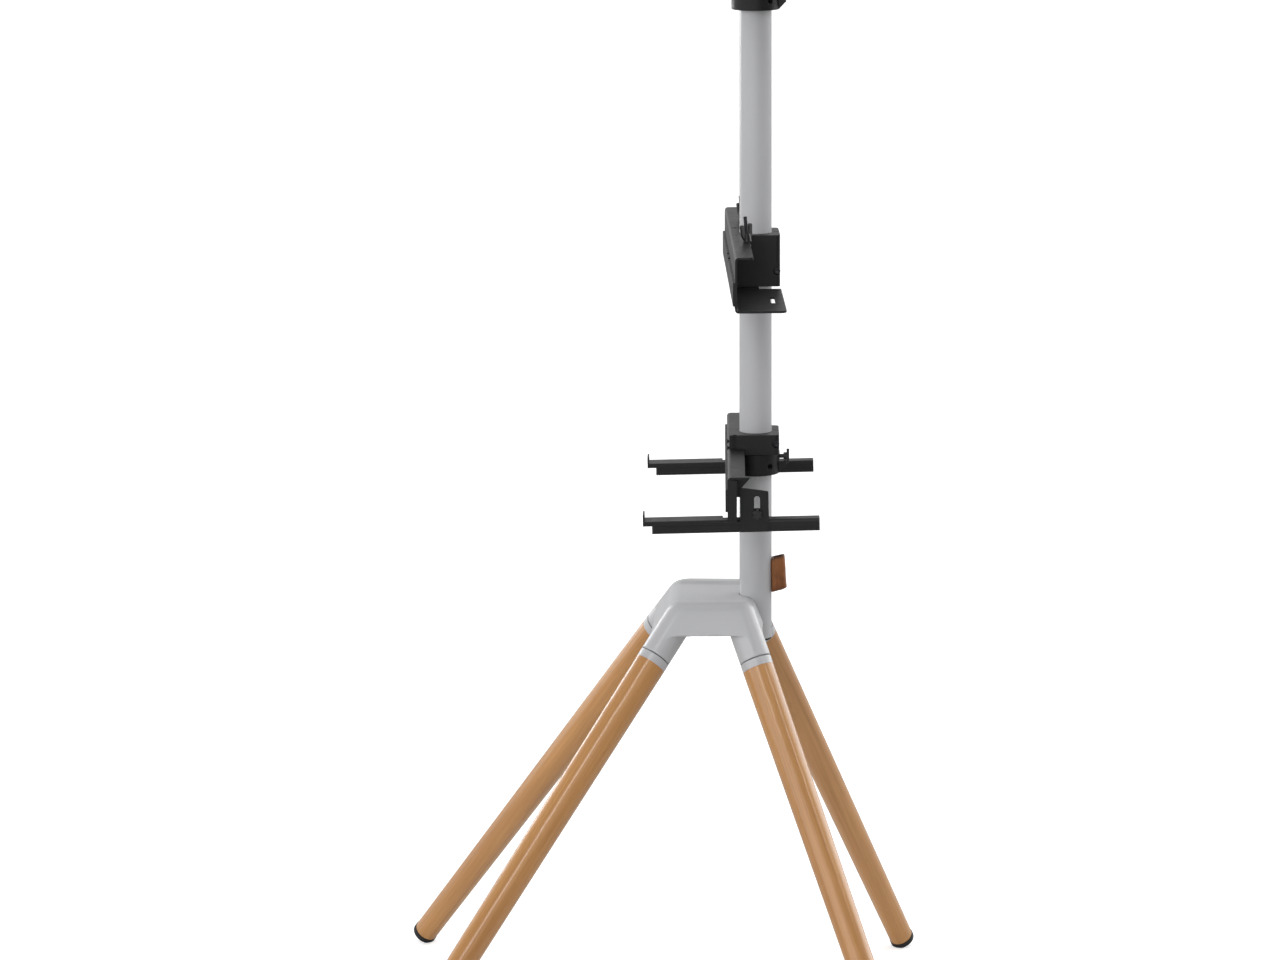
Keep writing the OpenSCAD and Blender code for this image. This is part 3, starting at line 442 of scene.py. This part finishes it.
def hub_field(p):
    s = [(p - q) @ n for q, n in walls]
    line = []
    for k in ring:
        o, d = AX[k]
        w = p - o
        t = w @ d
        line.append((np.linalg.norm(w - t[:, None] * d, axis=1), t))
    near_line = np.min([l for l, _ in line], axis=0)
    inside = np.max(s, axis=0)
    side = np.where(inside <= 0, inside, near_line)
    for i in range(4):
        q, n = walls[i]
        foot = p - s[i][:, None] * n
        ok = s[i] > 0
        for j in ((i + 1) % 4, (i + 3) % 4):
            qj, nj = walls[j]
            ok &= ((foot - qj) @ nj) <= 0
        side = np.where(ok, s[i], side)
    side = side - LEG_R
    x, y, z = p.T
    # top with its valley, deeper towards the pole
    reach = np.clip((54.5 - np.abs(x)) / 12.0, 0, 1)
    reach = reach * reach * (3 - 2 * reach)
    deep = 1.7 + 2.0 * np.clip((y + 118.0) / 95.0, 0, 1)
    top = z - (HUB_TOP - deep * reach)
    d = round_and(side, top, 8.5)
    # sockets run on below the casting
    tube = near_line - LEG_R
    d = np.maximum(d, round_or(HUB_BOT - z, tube, 2.2))
    for (r_, t) in line:
        bore = np.maximum(np.maximum(r_ - 12.1, -64.0 - t), t)
        near = r_ < 25
        end = t + 10.8
        d = np.where(near & (t > -45), np.maximum(d, end), d)
        d = np.maximum(d, -bore)
    # seat of the pole, open to the rear
    rad = np.hypot(x, y) - 20.3
    seat = np.minimum(rad, np.maximum(np.abs(x) - 20.3, -y))
    d = round_and(d, -seat, 1.3)
    # hollow underside with the step for its plate
    def box(x0, x1, y0, y1, z1):
        return np.maximum.reduce([x0 - x, x - x1, y0 - y, y - y1, z - z1])
    d = np.maximum(d, -box(-36, 36, -86, -38, HUB_BOT + 29.7))
    d = np.maximum(d, -box(-44.2, 44.2, -94.2, -33.8, HUB_BOT + 2.7))
    # holes of the grub screws, on the hidden side of each socket
    for k in ring:
        o, dd = AX[k]
        c = o - 38.0 * dd
        h = -(np.array([o[0], o[1], 0]) - np.array([0, 0, 0]))
        up = np.array([0, 0, 1.0])
        side_v = np.cross(up, dd)
        side_v /= np.linalg.norm(side_v)
        inward = np.cross(side_v, dd)
        if inward[2] > 0:
            inward = -inward
        w = p - c
        t = w @ inward
        rr = np.linalg.norm(w - t[:, None] * inward, axis=1)
        d = np.maximum(d, -np.maximum(rr - 2.7, -t))
    return d


def make_hub():
    step = 1.25
    v, f = surface_nets(hub_field, (-107.1, -153.3, HUB_TOP - 80.7), (107.1, 29.9, HUB_TOP + 2.6), step)
    v = settle(hub_field, v)
    o = mesh_object("cast_hub", v, f, GREY)
    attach(o, "stand")
    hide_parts("base_hub")
    return o


make_hub()

# ------------------------------------------------------------------ the leather cable loop
def make_loop():
    """one narrow strap of thick leather: tight against the pole, closed by a round nose that stands a little higher"""
    z0, h, t = 537.0, 41.6, 2.6
    half, nose_y, nose_r = 7.5 - t / 2, 30.1, 7.5 - t / 2
    # centre line in plan, anticlockwise from the right side of the pole seat
    pr = 20.3 + t / 2
    a0 = math.acos((half - 0.2) / pr)
    pts = []
    for a in np.linspace(math.pi - a0, a0, 34):
        pts.append((pr * math.cos(a), pr * math.sin(a)))
    bend = math.acos(nose_r / math.hypot(half, nose_y - 14.3)) + math.atan2(14.3 - nose_y, half)
    for a in np.linspace(bend, math.pi - bend, 26):
        pts.append((nose_r * math.cos(a), nose_y + nose_r * math.sin(a)))
    loop = np.array(pts)
    # soften the corners, keep the length even
    for _ in range(3):
        seg = np.linalg.norm(np.diff(np.vstack([loop, loop[:1]]), axis=0), axis=1)
        s_ = np.concatenate([[0], np.cumsum(seg)])
        want = np.linspace(0, s_[-1], 161)[:-1]
        closed = np.vstack([loop, loop[:1]])
        loop = np.stack([np.interp(want, s_, closed[:, i]) for i in range(2)], 1)
        for _k in range(6):
            sm = 0.5 * loop + 0.25 * (np.roll(loop, 1, 0) + np.roll(loop, -1, 0))
            keep = (np.hypot(loop[:, 0], loop[:, 1]) < pr + 0.4) & (np.abs(loop[:, 0]) < half - 1.5)
            loop = np.where(keep[:, None], loop, sm)
    tang = np.roll(loop, -1, 0) - np.roll(loop, 1, 0)
    tang /= np.linalg.norm(tang, axis=1)[:, None]
    nrm = np.stack([tang[:, 1], -tang[:, 0]], 1)
    c = loop.mean(0)
    if ((loop - c) * nrm).sum() < 0:
        nrm = -nrm
    # outline of the band's cut section: (offset across, height 0..1, how near a cut edge)
    r = 0.95
    sec = []
    nz = 30
    for k in range(nz + 1):
        sec.append((t / 2, r + (h - 2 * r) * k / nz, 0))
    for k in range(1, 6):
        a = k * math.pi / 10
        sec.append((t / 2 - r + r * math.cos(a), h - r + r * math.sin(a), 1))
    for k in range(0, 6):
        a = math.pi / 2 + k * math.pi / 10
        sec.append((-t / 2 + r + r * math.cos(a), h - r + r * math.sin(a), 1))
    for k in range(1, nz + 1):
        sec.append((-t / 2, h - r - (h - 2 * r) * k / nz, 0))
    for k in range(1, 6):
        a = math.pi + k * math.pi / 10
        sec.append((-t / 2 + r + r * math.cos(a), r + r * math.sin(a), 1))
    for k in range(0, 5):
        a = 1.5 * math.pi + k * math.pi / 10
        sec.append((t / 2 - r + r * math.cos(a), r + r * math.sin(a), 1))
    sec = np.array(sec)
    n, m = len(loop), len(sec)
    back = np.clip((loop[:, 1] - 20.0) / 16.0, 0, 1)          # 0 at the pole, 1 at the nose
    V = np.zeros((n, m, 3))
    for j in range(m):
        off, zz, _e = sec[j]
        u = zz / h
        # both cut edges rise towards the nose, the side bows out at mid height and a crease runs down it
        low = (4.9 - 0.9 * u) * back - 0.6
        lean = (0.5 - u) * 2.8 * back
        bow = 0.40 * np.sin(math.pi * u) * np.sin(math.pi * np.clip(back, 0, 1)) * 1.0
        crease = -0.5 * np.exp(-((back - 0.42) / 0.07) ** 2) * (0.6 + 0.4 * math.sin(5 * u + 0.6))
        wav = 0.16 * np.sin(7.0 * u + 9.0 * back) * back
        d = off + bow + crease + wav
        V[:, j, 0] = loop[:, 0] + nrm[:, 0] * d
        V[:, j, 1] = loop[:, 1] + nrm[:, 1] * d + lean
        V[:, j, 2] = z0 + zz + low + 0.25 * np.sin(6 * back + 1.0) * back
    V = V.reshape(-1, 3)
    # never into the pole
    rad = np.hypot(V[:, 0], V[:, 1])
    push = np.maximum(20.12 / rad, 1)
    V[:, :2] *= push[:, None]
    ii, jj = np.meshgrid(np.arange(n), np.arange(m), indexing="ij")
    i2, j2 = (ii + 1) % n, (jj + 1) % m
    F = np.stack([ii * m + jj, i2 * m + jj, i2 * m + j2, ii * m + j2], 2).reshape(-1, 4)
    o = mesh_object("leather_band", V, F, LEATHER)
    me = o.data
    bm = bmesh.new()
    bm.from_mesh(me)
    bmesh.ops.recalc_face_normals(bm, faces=bm.faces)
    bm.to_mesh(me)
    bm.free()
    at = me.attributes.new("edge", "FLOAT", "POINT")
    near = np.exp(-np.minimum(sec[:, 1], h - sec[:, 1]) / 1.1) * 0.9
    near = np.maximum(near, sec[:, 2] * 0.95)
    at.data.foreach_set("value", np.tile(near, n).astype(np.float32))
    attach(o, "stand")
    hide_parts("leather_cable_loop")
    return o


make_loop()

# ------------------------------------------------------------------ CAD nodes
bevels = {"default": 0.0004, "hub_underplate": 0.0006, "pole": 0.0006,
          "lower_clamp": 0.0007, "middle_clamp": 0.0008, "head_clamp": 0.0008,
          "lower_stop_collar": 0.0005, "upper_stop_collar": 0.0005,
          "foot_pads": 0.0006, "arm_plugs_left": 0.0015, "arm_plugs_right": 0.0015, "leg_ferrules": 0.0005, "display_plate": 0.0006, "tilt_knob": 0.0007}
for name, o in nodes.items():
    me = o.data
    if "custom_normal" in me.attributes:
        me.attributes.remove(me.attributes["custom_normal"])
    me.materials.clear()
    me.materials.append(legs[name] if name in legs else by_slot[slot_of[name]])
    me.polygons.foreach_set("use_smooth", np.ones(len(me.polygons), bool))
    w = o.modifiers.new("weld", "WELD")
    w.merge_threshold = 2e-6
    bv = o.modifiers.new("edges", "BEVEL")
    bv.width = bevels.get(name, bevels["default"])
    bv.segments = 3 if name in bevels else 2
    bv.limit_method = "ANGLE"
    bv.angle_limit = math.radians(32)
    bv.use_clamp_overlap = True
    bv.harden_normals = False
    bv.miter_outer = "MITER_SHARP"
    wn = o.modifiers.new("normals", "WEIGHTED_NORMAL")
    wn.keep_sharp = True
    wn.weight = 80

# ------------------------------------------------------------------ stage
scene = bpy.context.scene
scene.view_settings.view_transform = "Standard"
scene.view_settings.look = "None"

bpy.ops.mesh.primitive_plane_add(size=60.0, location=(0, 0, -0.0004))
floor = bpy.context.object
floor.name = "floor"
fm, nt, b = new_mat("pale_floor")
b.inputs["Roughness"].default_value = 0.9
b.inputs["Specular IOR Level"].default_value = 0.1
lp = nt.nodes.new("ShaderNodeLightPath")
geo = nt.nodes.new("ShaderNodeNewGeometry")
# the white sweep is about three metres across: past it the studio floor is dull, which only reflections see
far = nt.nodes.new("ShaderNodeVectorMath")
far.operation = "DISTANCE"
far.inputs[1].default_value = (-0.2, POLE_Y, 0)
nt.links.new(geo.outputs["Position"], far.inputs[0])
sweep = ramp(nt, [(0.0, grey3(0.62)), (0.30, grey3(0.54)), (0.55, grey3(0.34)), (1.0, grey3(0.30))],
             math_node(nt, "DIVIDE", far.outputs["Value"], 4.0, clamp=True))
nt.links.new(mix_rgb(nt, lp.outputs["Is Camera Ray"], sweep.outputs["Color"], (0.86, 0.86, 0.86)), b.inputs["Base Color"])
b.inputs["Emission Color"].default_value = (1, 1, 1, 1)
nt.links.new(math_node(nt, "MULTIPLY", lp.outputs["Is Camera Ray"], 0.42), b.inputs["Emission Strength"])
floor.data.materials.append(fm)

# the studio: white backdrop, a wide box at the front left, one behind to the right, one overhead
world = bpy.data.worlds.new("studio")
scene.world = world
world.use_nodes = True
nt = world.node_tree
nt.nodes.clear()
wo = nt.nodes.new("ShaderNodeOutputWorld")
bg = nt.nodes.new("ShaderNodeBackground")
nt.links.new(bg.outputs[0], wo.inputs[0])
tc = nt.nodes.new("ShaderNodeTexCoord")
sep = nt.nodes.new("ShaderNodeSeparateXYZ")
nt.links.new(tc.outputs["Generated"], sep.inputs[0])
az = math_node(nt, "MULTIPLY", math_node(nt, "ARCTAN2", sep.outputs["Y"], sep.outputs["X"]), 180 / math.pi)
el = math_node(nt, "MULTIPLY", math_node(nt, "ARCSINE", sep.outputs["Z"]), 180 / math.pi)


def soft_step(v, at, soft):
    m = nt.nodes.new("ShaderNodeMapRange")
    m.interpolation_type = "SMOOTHSTEP"
    nt.links.new(v, m.inputs["Value"])
    m.inputs["From Min"].default_value = at - soft
    m.inputs["From Max"].default_value = at + soft
    return m.outputs["Result"]


def window(a0, a1, e0, e1, soft, power):
    u = math_node(nt, "SUBTRACT", soft_step(az, a0, soft), soft_step(az, a1, soft))
    v = math_node(nt, "SUBTRACT", soft_step(el, e0, soft), soft_step(el, e1, soft))
    return math_node(nt, "MULTIPLY", math_node(nt, "MULTIPLY", u, v), power)


total = 0.30
for w_ in ((-118, 14, -16, 27, 6, 2.5), (94, 160, -12, 44, 14, 3.9), (-200, -118, -8, 45, 10, 0.55), (172, 200, -8, 45, 10, 0.55), (-200, 200, 70, 100, 6, 1.5)):
    total = math_node(nt, "ADD", window(*w_), total)
lp = nt.nodes.new("ShaderNodeLightPath")
mx = nt.nodes.new("ShaderNodeMix")
mx.data_type = "FLOAT"
nt.links.new(lp.outputs["Is Camera Ray"], mx.inputs[0])
nt.links.new(total, mx.inputs[2])
mx.inputs[3].default_value = 1.30
nt.links.new(mx.outputs[0], bg.inputs["Strength"])


def area(name, loc, target, size, power, colour=(1, 1, 1)):
    d = bpy.data.lights.new(name, "AREA")
    d.shape = "RECTANGLE"
    d.size, d.size_y = size
    d.energy = power
    d.color = colour
    o = bpy.data.objects.new(name, d)
    o.location = loc
    o.rotation_mode = "QUATERNION"
    o.rotation_quaternion = (Vector(target) - Vector(loc)).to_track_quat("-Z", "Y")
    scene.collection.objects.link(o)
    return o


# streaks on the lacquer: a strip high beside the camera, one low behind to the front left
area("key_strip", (3.0, -0.75, 3.1), (0, 0.1, 0.3), (0.5, 1.6), 26)
area("edge_strip", (-2.2, -1.75, 1.5), (0, 0.1, 0.3), (0.5, 1.8), 24)
area("rear_strip", (1.55, 2.75, 3.45), (0.1, 0.15, 0.3), (0.22, 1.5), 15)

# ------------------------------------------------------------------ camera
cam_data = bpy.data.cameras.new("camera")
cam = bpy.data.objects.new("camera", cam_data)
scene.collection.objects.link(cam)
cam_data.sensor_width = 36.0
cam_data.lens = 4300.0 / 1280.0 * 36.0
CAM = Vector((5.342, POLE_Y + 0.1124, 1.7839))
cam.location = CAM
cam.rotation_mode = "XYZ"
cam.rotation_euler = (math.radians(90), 0, math.radians(90))
cam_data.clip_start, cam_data.clip_end = 0.05, 200


def rise(channel, value):
    """the lens rise holds only where the camera stands level at its own place, as on a view camera; moved away, the lens is centred"""
    fc = cam_data.driver_add(channel)
    for m in list(fc.modifiers):
        fc.modifiers.remove(m)
    d = fc.driver
    d.type = "AVERAGE"
    v = d.variables.new()
    v.name = "x"
    v.type = "TRANSFORMS"
    v.targets[0].id = cam
    v.targets[0].transform_type = "LOC_X"
    v.targets[0].transform_space = "WORLD_SPACE"
    while fc.keyframe_points:
        fc.keyframe_points.remove(fc.keyframe_points[0])
    fc.keyframe_points.add(4)
    for k, (x, y) in zip(fc.keyframe_points, ((-100.0, 0.0), (CAM.x - 0.03, value), (CAM.x + 0.03, 0.0), (100.0, 0.0))):
        k.co = (x, y)
        k.interpolation = "CONSTANT"
    fc.extrapolation = "CONSTANT"
    fc.update()


rise("shift_x", -206.0 / 1280.0)
rise("shift_y", -893.0 / 1280.0)
scene.camera = cam
